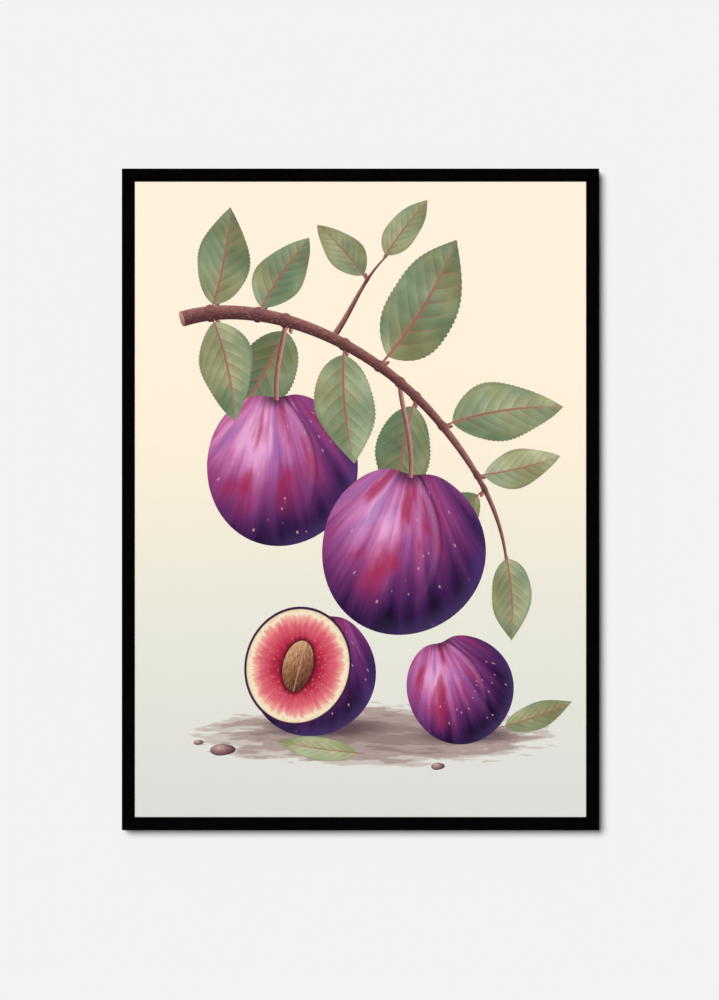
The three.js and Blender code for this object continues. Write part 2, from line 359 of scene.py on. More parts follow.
def link_light(light, pieces, state):
    """Lets a lamp reach only these pieces, or all but these."""
    group = bpy.data.collections.new(light.name + "_reach")
    light.light_linking.receiver_collection = group
    for piece in pieces:
        group.objects.link(piece)
    for entry in group.collection_objects:
        entry.light_linking.link_state = state


sun = lamp("key_light", "SUN", SUN_STRENGTH, (SHADOW_SLOPE, 1, -SHADOW_SLOPE))
sun.data.angle = math.radians(SUN_ANGLE)
sun.visible_glossy = False

back_light = lamp("back_light", "AREA", BACK_LIGHT_POWER, -BACK_LIGHT_PLACE, middle + BACK_LIGHT_PLACE)
back_light.data.size = BACK_LIGHT_SIZE

floor_light = lamp("floor_light", "SUN", FLOOR_LIGHT, (0, 0, -1))
link_light(floor_light, [floor], "INCLUDE")

scene.world = bpy.data.worlds.new("studio")
scene.world.use_nodes = True
sky = Graph(scene.world.node_tree)
ahead = sky.part(sky.node("TexCoord", output="Generated"), "Y")
fill = sky.ease(ahead, *FILL_FADE, FILL_AHEAD, FILL)
seen = sky.node("LightPath", output="Is Camera Ray")
light = sky.mix(seen, sky.join(fill, fill, fill), BACKDROP)
sky.node("OutputWorld", {"Surface": sky.node("Background", {"Color": light, "Strength": 1.0})})
print("key light, back light, floor light and sky set")

# %% [markdown]
# ## Pieces from the solids
# The solids have the right shape and place, but their edges are razor sharp and their meshes are loose
# triangles. A copy is merged into one skin, its flat triangles are joined, and every edge is rounded by a
# fraction of a millimetre, so that light catches it. The copy then stands for the solid.

# %% Rounded copies
MERGE = 0.002 * MM
FLAT = math.radians(0.5)
EDGE = math.radians(20)
SMOOTH = math.radians(35)


def show(name, shape, material, body, nodes):
    """Makes a bmesh an object that rides on a body and stands for solids."""
    made = placed(name, shape)
    made.data.polygons.foreach_set("use_smooth", [True] * len(made.data.polygons))
    made.data.set_sharp_from_angle(angle=SMOOTH)
    made.data.materials.append(material)
    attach(made, body)
    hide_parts(*nodes)
    return made


def round_edges(shape, sharp, rounding, segments):
    """Rounds every edge whose faces meet at more than an angle."""
    edges = [edge for edge in shape.edges if edge.calc_face_angle(0) > sharp]
    bmesh.ops.bevel(
        shape, geom=edges, offset=rounding, affect="EDGES", segments=segments, profile=0.5,
        material=-1, clamp_overlap=True,
    )


def rounded_copy(node, rounding, segments=2):
    shape = bmesh.new()
    shape.from_mesh(frame["nodes"][node].data)
    bmesh.ops.remove_doubles(shape, verts=shape.verts, dist=MERGE)
    bmesh.ops.dissolve_limit(shape, angle_limit=FLAT, verts=shape.verts, edges=shape.edges)
    round_edges(shape, EDGE, rounding, segments)
    return shape


def named(kind):
    """The solids whose names start with a kind of piece."""
    return sorted(node for node in frame["nodes"] if node.startswith(kind))


print("to copy:", ", ".join(named("frame_rail")), "and the others")

# %% [markdown]
# ## Black lacquer on wood
# Slim frames of this kind are sprayed with a satin black lacquer. From the front it is plain black, but
# near to it the grain of the wood still shows as fine lines along each rail, in the gloss more than in the
# colour. The grain is a noise stretched along the rail, so the upright rails need their own material.

# %% Lacquer and rails
LACQUER = (0.0003, 0.0003, 0.0004)
LACQUER_WORN = (0.0012, 0.0012, 0.0012)
LACQUER_SPECULAR = 0.25
GRAIN = (900, 5, 0.6)
GRAIN_STRETCH = 0.03
GRAIN_DEPTH = 0.05 * MM
PORES = (1800, 3, 0.5)
PORE_FADE = (0.56, 0.68)
CLOUDS = (18, 3, 0.5)
WORN_FADE = (0.45, 0.95)
RAIL_ROUNDING = 0.2 * MM
RAIL_SEGMENTS = 3


def lacquer(stretch):
    """The sums for a rail whose grain is stretched along it."""
    def build(graph):
        along = graph.coordinates(scale=stretch)
        grain = graph.noise(*GRAIN, along)
        pores = graph.ease(graph.noise(*PORES, along), *PORE_FADE)
        cloud = graph.noise(*CLOUDS, graph.coordinates())
        worn = graph.ease(grain + cloud * 0.4, *WORN_FADE)
        height = grain * 0.6 + (1 - pores) * 0.4
        return {
            "Base Color": graph.mix(worn, LACQUER, LACQUER_WORN),
            "Roughness": 0.36 + grain * 0.12 + pores * 0.12 + cloud * 0.06,
            "Specular IOR Level": LACQUER_SPECULAR,
        }, height, GRAIN_DEPTH
    return build


RAILS = {("top", "bottom"): (GRAIN_STRETCH, 1, 1), ("left", "right"): (1, 1, GRAIN_STRETCH)}
for number, (sides, stretch) in enumerate(RAILS.items()):
    finish = surface(f"black_lacquer_{number}", lacquer(stretch))
    for side in sides:
        node = "frame_rail_" + side
        rail = rounded_copy(node, RAIL_ROUNDING, RAIL_SEGMENTS)
        show(node + "_lacquered", rail, finish, "frame", [node])
print("grain directions:", len(RAILS))

# %% [markdown]
# ## Clear acrylic
# The glazing is clear, and what tells it from air is the mirror image on it, weak from the front and strong
# from the side. A Fresnel node gives that share, and the rest goes straight through. The sheet has two
# faces, and a ray meets the second one from inside. There the node would shut in all slanting light, so
# the mirror works on a face's outer side only, with a higher index that stands for both faces.

# %% Acrylic
ACRYLIC_TINT = (0.99, 0.99, 0.99)
ACRYLIC_INDEX = 1.7
ACRYLIC_POLISH = 0.02
ACRYLIC_ROUNDING = 0.2 * MM


def clear_acrylic():
    material, graph = blank("clear_acrylic")
    inside = graph.node("NewGeometry", output="Backfacing")
    share = graph.node("Fresnel", {"IOR": ACRYLIC_INDEX}) * (1 - inside)
    through = graph.node("BsdfTransparent", {"Color": ACRYLIC_TINT})
    mirror = graph.node("BsdfGlossy", {"Color": (1, 1, 1), "Roughness": ACRYLIC_POLISH})
    graph.node("OutputMaterial", {"Surface": graph.node("MixShader", {0: share, 1: through, 2: mirror})})
    return material


pane = rounded_copy("glazing", ACRYLIC_ROUNDING)
show("clear_glazing", pane, clear_acrylic(), "frame", ["glazing"])
print("acrylic set")

# %% [markdown]
# ## The picture: shapes
# A printed picture is only colour, and it could be an image file. Here it is drawn by rule, a spray of
# plums in the manner of an old garden book. Each painted shape is an outline in its own small plane:
# a leaf grows along its own X axis from 0 at the foot of its stalk to 1 at its tip. A matrix lays that
# plane on the print. The same sums for the midrib and the half width serve twice, with numbers for the
# outline here and with shader values for the veins later.

# %% Outline of a leaf
LEAF_STALK = 0.09
LEAF_HALF = 0.24
LEAF_WIDEST = 0.42
LEAF_BASE_POWER = 0.7
LEAF_TIP_POWER = LEAF_BASE_POWER * (1 - LEAF_WIDEST) / LEAF_WIDEST
LEAF_TEETH = 26
TOOTH_STEPS = ((0.0, 0.0), (0.45, 0.035), (0.9, 0.05))
RUFFLE = 0.05
RUFFLE_WAVES = 9
STALK_HALF = 0.008


def midrib(along, bend):
    """How far the midrib has drifted sideways."""
    return along * along * bend


def half_width(blade):
    """Half the width of a leaf's blade, which runs from 0 at its base to 1 at its tip."""
    base = (blade * (1 / LEAF_WIDEST)) ** LEAF_BASE_POWER
    tip = ((1 - blade) * (1 / (1 - LEAF_WIDEST))) ** LEAF_TIP_POWER
    return base * tip * LEAF_HALF


def leaf_outline(bend, wave):
    """Down one toothed side from the tip and back up the other."""
    side = []
    for tooth in range(LEAF_TEETH):
        for step, rise in TOOTH_STEPS:
            blade = (tooth + step) / LEAF_TEETH
            ruffle = 1 + rise + RUFFLE * math.sin(blade * RUFFLE_WAVES + wave)
            half = max(half_width(blade) * ruffle, STALK_HALF)
            side.append((LEAF_STALK + blade * (1 - LEAF_STALK), half))
    right = [(along, midrib(along, bend) - half) for along, half in side]
    left = [(along, midrib(along, bend) + half) for along, half in side]
    foot = [(0, STALK_HALF), (0, -STALK_HALF)]
    return foot + right + [(1, midrib(1, bend))] + left[::-1]


print("leaf outline of", len(leaf_outline(0, 0)), "points")

# %% [markdown]
# ## The picture: round shapes and buds
# A plum, a pebble and a cut face are circles of radius 1 whose reach swells and dips as they turn. A bud is
# one arch of a sine, pushed towards the bud's tip.

# %% Outlines of plums, pebbles and buds
PLUM_DENT = 0.09
PLUM_DENT_HALF = 0.22
BUD_STEPS = 12
BUD_FULL = 1.7


def round_outline(points, reach):
    """A closed curve round the origin, whose distance at each turn is given by reach."""
    turns = [math.tau * step / points for step in range(points)]
    return [(reach(turn) * math.cos(turn), reach(turn) * math.sin(turn)) for turn in turns]


def disc_reach(turn):
    return 1


def plum_reach(turn):
    """A plum: a little taller than wide, with a dent where its stalk sits, at the top."""
    dent = PLUM_DENT * math.exp(-((turn - math.pi / 2) / PLUM_DENT_HALF) ** 2)
    return 1 + 0.03 * math.sin(turn) ** 2 + 0.015 * math.cos(3 * turn) - dent


def pebble_reach(turn):
    return 1 + 0.08 * math.sin(2 * turn + 1) + 0.04 * math.cos(3 * turn)


def bud_outline():
    """A bud from its foot at 0 to its tip at 1, widest at two thirds."""
    steps = [step / BUD_STEPS for step in range(1, BUD_STEPS)]
    side = [(along, math.sin(math.pi * along ** BUD_FULL)) for along in steps]
    return [(0, 0), *[(along, -half) for along, half in side], (1, 0), *side[::-1]]


print("plum outline of", len(round_outline(96, plum_reach)), "points")

# %% [markdown]
# ## The picture: laying shapes on the print
# What a paint needs to know of a shape goes with its outline: which paint it is, its tone from 0 for dark
# to 1 for light, how far a leaf bends, and the matrix that leads back to its own plane. Sizes are
# millimetres, and places are millimetres from the print's middle. What is added later lies in front.

# %% Laying shapes
PAINTS = ["paper", "wood", "leaf", "skin", "flesh", "pebble"]
WOOD_UNIT = 100
WOOD_STEP = 8
SPINE_PIECES = 60

motifs = []


def laid(place, degrees, size):
    """The matrix from a shape's own plane to the print."""
    return Matrix.LocRotScale(place, Matrix.Rotation(math.radians(degrees), 3, "Z"), Vector((*size, 1)))


def keep(paint, lay, ring, tone=0.5, bend=0.0):
    traits = (PAINTS.index(paint), tone, bend)
    motifs.append({"ring": ring, "to_own": lay.inverted(), "traits": traits})


def add(paint, outline, place, turn=0.0, size=1.0, breadth=1.0, tone=0.5, bend=0.0):
    """Lays an outline on the print. Its plane goes along, so that the paint can read it."""
    lay = laid(Vector((*place, 0)), turn, (size, size * breadth))
    keep(paint, lay, [lay @ Vector((*point, 0)) for point in outline], tone, bend)


def spine_of(route, pieces=SPINE_PIECES):
    return interpolate_bezier(*[Vector((*point, 0)) for point in route], pieces + 1)


def spot(branch, share):
    """A point on a branch, the branch's direction there, in degrees, and half its thickness."""
    route, start, end = branch
    spine = spine_of(route)
    index = min(int(share * SPINE_PIECES), SPINE_PIECES - 1)
    run = spine[index + 1] - spine[index]
    return spine[index], math.degrees(math.atan2(run.y, run.x)), start + (end - start) * share


def wood(route, start, end, tone=0.5):
    """A twig along a route, as a chain of short quads that share their ends."""
    length = sum((b - a).length for a, b in zip(spine_of(route), spine_of(route)[1:]))
    pieces = max(3, round(length / WOOD_STEP))
    spine = spine_of(route, pieces)
    runs = [after - before for before, after in zip(spine, spine[1:])]
    slants = [runs[0]] + [(a + b) for a, b in zip(runs, runs[1:])] + [runs[-1]]
    halves = [start + (end - start) * step / pieces for step in range(pieces + 1)]
    aside = [Vector((-slant.y, slant.x, 0)).normalized() * half for slant, half in zip(slants, halves)]
    walked = 0.0
    for step, run in enumerate(runs):
        near, far = spine[step], spine[step + 1]
        ring = [near - aside[step], far - aside[step + 1], far + aside[step + 1], near + aside[step]]
        half = (halves[step] + halves[step + 1]) / 2
        turn = math.degrees(math.atan2(run.y, run.x))
        keep("wood", laid(near - run.normalized() * walked, turn, (WOOD_UNIT, half)), ring, tone)
        walked += run.length


print("paints:", ", ".join(PAINTS))

# %% [markdown]
# ## The picture: leaves, knots and plums
# A leaf or a stalk is hung on a branch by the share of the branch's length at its foot, which lies behind
# the branch, so that it comes out from under it as a real one does. A bud sits beside each leaf, on the
# side of the branch's tip. A knot is a slight swelling of the branch at such a place.

# %% Leaves, knots and plums
BUD_LEAN = 0.7
BUD_LEAST = 0.3
BUD_OUT = 6.5
BUD_HALF = 2.3
BUD_TONE = 0.75
KNOT_SWELL = 1.22
KNOT_LONG = 7
KNOT_TONE = 0.42
STALK_DROP = 24
STALK_RISE = 40
STALK_ENDS = (2.6, 2.4)
STALK_TONE = 0.8
DENT_DEPTH = 0.9


def leaf(place, turn, size, tone, bend=0.1, breadth=1.0):
    add("leaf", leaf_outline(bend, size), place, turn, size, breadth, tone, bend)


def leaf_on(branch, share, lean, size, tone, bend=0.1, breadth=1.0):
    """A leaf that leaves a branch at an angle, with the bud beside it."""
    foot, along, half = spot(branch, share)
    turn = lean * BUD_LEAN
    long = half / max(abs(math.sin(math.radians(turn))), BUD_LEAST) + BUD_OUT
    add("wood", bud_outline(), foot.xy, along + turn, long, BUD_HALF / long, BUD_TONE)
    leaf(foot.xy, along + lean, size, tone, bend, breadth)


def knot(branch, share):
    place, along, half = spot(branch, share)
    lay = laid(place, along, (WOOD_UNIT, half * KNOT_SWELL))
    stretch = KNOT_LONG / WOOD_UNIT
    ring = [lay @ Vector((x * stretch, y, 0)) for x, y in round_outline(24, disc_reach)]
    keep("wood", lay, ring, KNOT_TONE)


def plum(place, turn, size, tone, branch=None, share=0.0):
    """A plum, with a stalk from a branch to its dent if a branch is given."""
    add("skin", round_outline(96, plum_reach), place, turn, size, 1.0, tone)
    if branch:
        lean = math.radians(turn)
        up = Vector((-math.sin(lean), math.cos(lean)))
        dent = Vector(place) + up * size * DENT_DEPTH
        foot = spot(branch, share)[0].xy
        route = [foot, foot - Vector((0, STALK_DROP)), dent + up * STALK_RISE, dent]
        wood(route, *STALK_ENDS, STALK_TONE)


print("a bud shows for", BUD_OUT, "mm")

# %% [markdown]
# ## The picture: layout
# The bough comes in from the left, arches over and hangs down on the right, with leaves on both sides and
# plums below it on thin stalks. Under them one plum lies on the ground beside another, cut in half to show
# its stone. First come the leaves behind, then the hanging plums, the leaves in front, and the wood over
# all their feet. A branch is its route and half its thickness at both ends.

# %% Layout of the spray
BOUGH = ([(-194, 196), (-110, 222), (8, 176), (84, 86)], 8.5, 4.4)
BOUGH_TIP = ([(84, 86), (118, 44), (150, -2), (158, -62)], 4.4, 1.5)
TWIG = ([(-30, 176), (-8, 206), (0, 236), (26, 262)], 3.6, 1.0)

leaf_on(BOUGH, 0.12, 66, 116, 0.35, 0.14)
leaf_on(BOUGH, 0.305, 74, 99, 0.55, -0.14, 1.05)
leaf_on(TWIG, 0.98, 12, 82, 0.8, -0.1, 0.85)
leaf_on(BOUGH, 0.76, 84, 158, 0.35, 0.18, 1.04)
leaf_on(BOUGH, 0.42, -96, 128, 0.12, -0.12, 1.05)
leaf_on(BOUGH, 0.90, -62, 122, 0.10, 0.12)
leaf_on(BOUGH_TIP, 0.55, -74, 110, 0.2, 0.15, 0.95)

plum((-86, 34), 4, 82, 0.62, BOUGH, 0.40)
plum((46, -56), -6, 89, 0.4, BOUGH, 0.84)

leaf_on(TWIG, 0.70, 66, 80, 0.65, 0.16, 0.95)
leaf_on(BOUGH, 0.13, -72, 118, 0.7, -0.18)
leaf_on(BOUGH, 0.62, -66, 128, 0.72, 0.16, 1.05)
leaf_on(BOUGH_TIP, 0.05, 72, 130, 0.75, -0.2)
leaf_on(BOUGH_TIP, 0.45, 66, 92, 0.9, 0.14, 0.9)
leaf_on(BOUGH_TIP, 0.97, 4, 96, 0.6, -0.16, 0.95)
print("leaves and hanging plums:", len(motifs), "shapes")

# %% [markdown]
# ## The picture: wood and ground
# Each branch gets its tone and, by their shares of its length, its knots. The bough's cut end is a pale
# oval, turned to face along the bough. On the ground lie two plums, the cut face, two leaves and pebbles.

# %% Layout of the wood and the ground
BRANCHES = [
    (TWIG, 0.6, (0.70,)),
    (BOUGH_TIP, 0.55, (0.05, 0.45, 0.55)),
    (BOUGH, 0.45, (0.125, 0.305, 0.41, 0.62, 0.76, 0.84, 0.90)),
]
CUT_TURN = 17
CUT_HALF = 2.4

for branch, tone, knots in BRANCHES:
    wood(*branch, tone)
    for share in knots:
        knot(branch, share)
add("wood", round_outline(24, disc_reach), BOUGH[0][0], CUT_TURN, CUT_HALF, BOUGH[1] / CUT_HALF, 1.0)

plum((108, -206), 22, 58, 0.22)
plum((-52, -188), -14, 68, 0.3)
add("flesh", round_outline(72, disc_reach), (-68, -181), -14, 58, 1.12)
leaf((150, -248), 14, 84, 0.45, 0.14, 0.7)
leaf((4, -276), 176, 96, 0.85, -0.12, 0.55)

add("pebble", round_outline(28, pebble_reach), (-150, -272), 0, 13, 0.52, 0.3)
add("pebble", round_outline(20, pebble_reach), (-176, -264), 0, 5, 0.6, 0.6)
add("pebble", round_outline(20, pebble_reach), (84, -290), 0, 7, 0.6, 0.5)
print("painted shapes:", len(motifs))

# %% [markdown]
# ## The picture: one sheet of faces
# The outlines overlap, as painted shapes do, but a sheet of paper has one surface. A constrained Delaunay
# triangulation cuts the sheet's front along every outline and says which outlines hold each triangle, and
# the last of them is the one on top. Outline 0 is the sheet's own border, so what lies past it is dropped.

# %% Cut along the outlines
BEHIND_GLAZING = 0.03 * MM
CUT_EXACT = 1e-5

sheet_low, sheet_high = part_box("print_sheet")
sheet_low.y += BEHIND_GLAZING
sheet_size = sheet_high - sheet_low
sheet_middle = (sheet_low + sheet_high) / 2
corner_x, corner_z = sheet_size.x / 2 / MM, sheet_size.z / 2 / MM
border = [(-corner_x, -corner_z), (corner_x, -corner_z), (corner_x, corner_z), (-corner_x, corner_z)]
rings = [[Vector(corner) for corner in border]]
rings += [[point.xy for point in motif["ring"]] for motif in motifs]
points, loops = [], []
for ring in rings:
    loops.append(list(range(len(points), len(points) + len(ring))))
    points += ring
places, _, triangles, _, _, holders = delaunay_2d_cdt(points, [], loops, 1, CUT_EXACT)
print("cut into", len(triangles), "triangles by", len(rings), "outlines")

# %% [markdown]
# ## The picture: what each face knows
# Each triangle keeps the number of its paint, and its corners keep their places in the shape's own plane as
# a UV map. A second UV map lays the front out for an image file, should the colours be baked to one, with
# the edge and the back in a narrow strip beside it. The front lies a hair behind the acrylic, because two
# faces in one place would fight for the light.

# %% The sheet's front
BAKE_MARGIN = 0.005
BAKE_HEIGHT = 0.99
BAKE_FRONT = 0.955
BARE_PAPER = (0, 0.5, 0)

sheet = bmesh.new()
own_plane = sheet.loops.layers.uv.new("own_plane")
bake_map = sheet.loops.layers.uv.new("OFBake")
traits = sheet.faces.layers.float_vector.new("traits")
corners = [
    sheet.verts.new((sheet_middle.x + place.x * MM, sheet_low.y, sheet_middle.z + place.y * MM))
    for place in places
]
for triangle, held in zip(triangles, holders):
    if 0 not in held:
        continue
    face = sheet.faces.new([corners[index] for index in triangle])
    top = max(held)
    for loop, index in zip(face.loops, triangle):
        place = places[index]
        own = motifs[top - 1]["to_own"] @ Vector((*place, 0)) if top else place / WOOD_UNIT
        loop[own_plane].uv = own.xy
        loop[bake_map].uv = (
            (0.5 + place.x / 2 / corner_x) * BAKE_FRONT + BAKE_MARGIN,
            (0.5 + place.y / 2 / corner_z) * BAKE_HEIGHT + BAKE_MARGIN,
        )
    face[traits] = motifs[top - 1]["traits"] if top else BARE_PAPER
print("front of", len(sheet.faces), "faces")

# %% [markdown]
# ## The picture: edge and back
# The front's outer edges are drawn back by the paper's thickness, and one face closes the back. What doesn't
# face forward is bare paper.

# %% The sheet's edge and back
BAKE_REST = 0.97
BAKE_REST_WIDTH = 0.012

rim = [edge for edge in sheet.edges if edge.is_boundary]
grown = bmesh.ops.extrude_edge_only(sheet, edges=rim)["geom"]
back_corners = [part for part in grown if isinstance(part, bmesh.types.BMVert)]
bmesh.ops.translate(sheet, vec=(0, sheet_size.y, 0), verts=back_corners)
bmesh.ops.contextual_create(sheet, geom=[edge for edge in sheet.edges if edge.is_boundary])
for face in sheet.faces:
    if face.normal.y > -0.5 or len(face.verts) > 3:
        face[traits] = BARE_PAPER
        for loop in face.loops:
            share = loop.vert.co - sheet_low
            across = share.x / sheet_size.x + share.y / sheet_size.y
            loop[bake_map].uv = (
                BAKE_REST + across * BAKE_REST_WIDTH, BAKE_MARGIN + share.z / sheet_size.z * BAKE_HEIGHT
            )
bmesh.ops.recalc_face_normals(sheet, faces=sheet.faces)
print("sheet of", len(sheet.faces), "faces,", round(sheet_size.y / MM, 2), "mm thick")

# %% [markdown]
# ## The picture: veins
# Each paint is a function that takes a place in a shape's own plane and gives a colour or a mask. The side
# veins are lines at even steps along the blade that lean towards the tip, and they fade before they reach
# the edge.

# %% Veins
VEIN_PAIRS = 8
VEIN_SLANT = 0.85
VEIN_CURVE = 1.6
VEIN_JITTER = 0.2
VEIN_FADE = (0.0072, 0.00135)
VEIN_EDGE_FADE = (0.92, 0.2)
VEIN_TIP_FADE = (0.97, 0.8, 0, 0.8)
RIB_FADE = (0.013, 0.005)
RIB_TIP_FADE = (1.02, 0.5)


def vein_count(blade, away, side, mottle):
    """How many side veins lie between the base and here, with the two sides out of step."""
    lean = blade - away * VEIN_SLANT - away * away * VEIN_CURVE
    return lean * VEIN_PAIRS + side * 0.5 + mottle * VEIN_JITTER


def leaf_veins(graph, blade, away, edge, count):
    line = (0.5 - abs(count.math("FRACT") - 0.5)) * (1 / VEIN_PAIRS)
    veins = graph.ease(line, *VEIN_FADE) * graph.ease(edge, *VEIN_EDGE_FADE)
    veins = veins * graph.ease(blade, *VEIN_TIP_FADE)
    rib = graph.ease(away, *RIB_FADE) * graph.ease(blade, *RIB_TIP_FADE)
    return rib.math("MAXIMUM", veins)


print("veins:", VEIN_PAIRS, "pairs a leaf")

# %% [markdown]
# ## The picture: leaf green
# A leaf's wash goes from dark to light on two ramps, cool and warm, that change places in broad patches. It
# is darker on one side of the midrib and on one side of each vein, as if the blade were quilted. The wash
# also takes the broad and the fine mottling that all paints share, as watercolour on paper does.

# %% Leaf paint
COOL_GREENS = [
    (0.0, (88, 106, 82)), (0.35, (112, 132, 102)), (0.65, (142, 158, 126)),
    (1.0, (186, 194, 160)),
]
WARM_GREENS = [
    (0.0, (102, 110, 74)), (0.35, (132, 134, 94)), (0.65, (162, 164, 122)),
    (1.0, (200, 200, 158)),
]
RIB_GLOW = linear(182, 142, 120)
LEAF_EDGE = linear(96, 110, 82)
VEIN_COLOUR = linear(164, 98, 88)
RIB_GLOW_FADE = (0.035, 0, 0, 0.22)
LEAF_EDGE_FADE = (0.88, 1, 0, 0.3)
VEIN_STRENGTH = 0.85
QUILT_FADE = (1.1, 0.3, 0.04, 0.2)
WARMTH = (2.2, 2, 0.5)
WARMTH_FADE = (0.35, 0.65)
WARMTH_SEED = 31
LEAF_START = 0.24
SIDE_LIGHT = 0.16
TIP_SHADE = 0.12


def leaf_paint(graph, x, y, tone, bend, mottle, fine):
    blade = ((x - LEAF_STALK) * (1 / (1 - LEAF_STALK))).math("MAXIMUM", 0.0).math("MINIMUM", 1.0)
    off = y - midrib(x, bend)
    away = abs(off)
    side = off > 0
    edge = away / half_width(blade).math("MAXIMUM", STALK_HALF)
    count = vein_count(blade, away, side, mottle)
    quilt = (count.math("FRACT") - 0.5) * graph.ease(edge, *QUILT_FADE)
    wash = (mottle - 0.5) * 1.1 + (fine - 0.5) * 0.12
    depth = tone * 0.5 + side * SIDE_LIGHT + quilt + wash - blade * TIP_SHADE + LEAF_START
    warmth = graph.ease(graph.noise(*WARMTH, graph.join(x, y, tone * WARMTH_SEED)), *WARMTH_FADE)
    colour = graph.mix(warmth, graph.ramp(depth, COOL_GREENS), graph.ramp(depth, WARM_GREENS))
    colour = graph.mix(graph.ease(away, *RIB_GLOW_FADE), colour, RIB_GLOW)
    colour = graph.mix(graph.ease(edge, *LEAF_EDGE_FADE), colour, LEAF_EDGE)
    lines = leaf_veins(graph, blade, away, edge, count).math("MAXIMUM", x < LEAF_STALK)
    return graph.mix(lines * VEIN_STRENGTH, colour, VEIN_COLOUR)


print("greens:", len(COOL_GREENS) + len(WARM_GREENS))

# %% [markdown]
# ## The picture: plum skin
# The skin is lightest where the light falls, up on the left, and runs through magenta and purple to nearly
# black. Streaks fan out from the stalk: their noise is read by the angle about a point above the plum.
# Over them come a red blush and a cool bloom, in patches that fan out in the same way.

# %% Plum skin: streaks, blush and bloom
SKIN_STOPS = [
    (0.0, (232, 168, 212)), (0.14, (206, 126, 180)), (0.34, (160, 76, 136)),
    (0.56, (110, 48, 108)), (0.76, (62, 28, 80)), (0.9, (30, 12, 44)), (1.0, (16, 6, 24)),
]
BLUSH = linear(168, 34, 70)
BLUSH_FADE = (0.48, 0.66, 0, 0.75)
BLUSH_LIGHT_FADE = (1.25, 0.5)
BLOOM = linear(132, 92, 168)
BLOOM_FADE = (0.46, 0.3, 0, 0.5)
BLOOM_LIGHT_FADE = (1.2, 0.2)
LIGHT_AT = (-0.34, 0.36)
STREAKS = (1.3, 3, 0.55)
STREAK_SEED = 7
PATCHES = (1.5, 2, 0.5)
PATCH_SEED = 13


def distance_from(x, y, at):
    across, up = x - at[0], y - at[1]
    return (across * across + up * up).math("SQRT")


def skin_base(graph, x, y, tone, mottle, spin, below):
    lit = distance_from(x, y, LIGHT_AT)
    streak = graph.noise(*STREAKS, graph.join(spin * 7, below * 0.35, tone * STREAK_SEED))
    shade = lit * 0.6 - y * 0.1 + (0.5 - tone) * 0.2 - 0.02
    colour = graph.ramp(shade + (streak - 0.5) * 0.75 + (mottle - 0.5) * 0.1, SKIN_STOPS)
    patches = graph.noise(*PATCHES, graph.join(spin * 3.2, y * 0.8, tone * PATCH_SEED))
    blush = graph.ease(patches, *BLUSH_FADE) * graph.ease(lit, *BLUSH_LIGHT_FADE)
    bloom = graph.ease(patches, *BLOOM_FADE) * graph.ease(lit, *BLOOM_LIGHT_FADE)
    return graph.mix(bloom, graph.mix(blush, colour, BLUSH), BLOOM)


print("skin from", len(SKIN_STOPS), "tones")

# %% [markdown]
# ## The picture: the marks on the skin
# The rim in the shade gets reflected light, which makes the plum look round. A seam runs down from the
# stalk in a bow, dark with a glow beside it, and the pit at the stalk is dark. The pale flecks are the
# cells of a Voronoi pattern, seen only near their middles, and they are drawn out along the streaks.

# %% Plum skin: rim, seam, pit and flecks
SHADED_RIM = linear(104, 78, 146)
RIM_FADE = (0.72, 1.03)
RIM_SHADE_FADE = (0.1, 1.3, 0, 0.4)
SEAM_DARK = linear(44, 16, 52)
SEAM_BOW = 0.42
SEAM_OFF = 0.05
SEAM_FADE = (0.035, 0)
SEAM_FOOT_FADE = (-0.95, 0.9, 0, 0.6)
SEAM_GLOW = linear(226, 160, 204)
GLOW_OFF = 0.07
GLOW_FADE = (0.07, 0)
GLOW_FOOT_FADE = (-0.7, 0.9, 0, 0.3)
PIT = linear(70, 30, 54)
PIT_AT = (0, 1.42)
PIT_FLAT = 1.5
PIT_FADE = (0.32, 0.06, 0, 0.8)
FLECK = linear(226, 176, 176)
FLECKS_FINE = 4.2
FLECK_FADE = (0.13, 0.07)
FLECK_RIM_FADE = (1, 0.9, 0, 0.6)
FLECK_SEED = 5
FAN_HEIGHT = 1.35


def skin_paint(graph, x, y, tone, mottle):
    below = FAN_HEIGHT - y
    spin = x.math("ARCTAN2", below)
    colour = skin_base(graph, x, y, tone, mottle, spin, below)
    reach = distance_from(x, y, (0, 0))
    rim = graph.ease(reach, *RIM_FADE) * graph.ease(x - y * 0.8, *RIM_SHADE_FADE)
    colour = graph.mix(rim, colour, SHADED_RIM)
    seam = x - (1 - y * y) * SEAM_BOW - SEAM_OFF
    crease = graph.ease(abs(seam), *SEAM_FADE) * graph.ease(y, *SEAM_FOOT_FADE)
    colour = graph.mix(crease, colour, SEAM_DARK)
    glow = graph.ease(abs(seam + GLOW_OFF), *GLOW_FADE) * graph.ease(y, *GLOW_FOOT_FADE)
    colour = graph.mix(glow, colour, SEAM_GLOW)
    pit = graph.ease(distance_from(x, y * PIT_FLAT, PIT_AT), *PIT_FADE)
    colour = graph.mix(pit, colour, PIT)
    cells = graph.join(spin * 3.4, y * 1.15, tone * FLECK_SEED)
    spots = graph.node("TexVoronoi", {"Vector": cells, "Scale": FLECKS_FINE})
    flecks = graph.ease(spots, *FLECK_FADE) * graph.ease(reach, *FLECK_RIM_FADE)
    return graph.mix(flecks, colour, FLECK)


print("skin marks: rim, seam, glow, pit and flecks")

# %% [markdown]
# ## The picture: the cut plum
# The cut face is a disc of radius 1. Its fibres run outwards, so their noise is read by direction, and it
# blurs the ring where the red flesh turns pale. Then come small dots, the thin line of skin, the dark
# hollow and the stone in it, with furrows and one bright ridge.

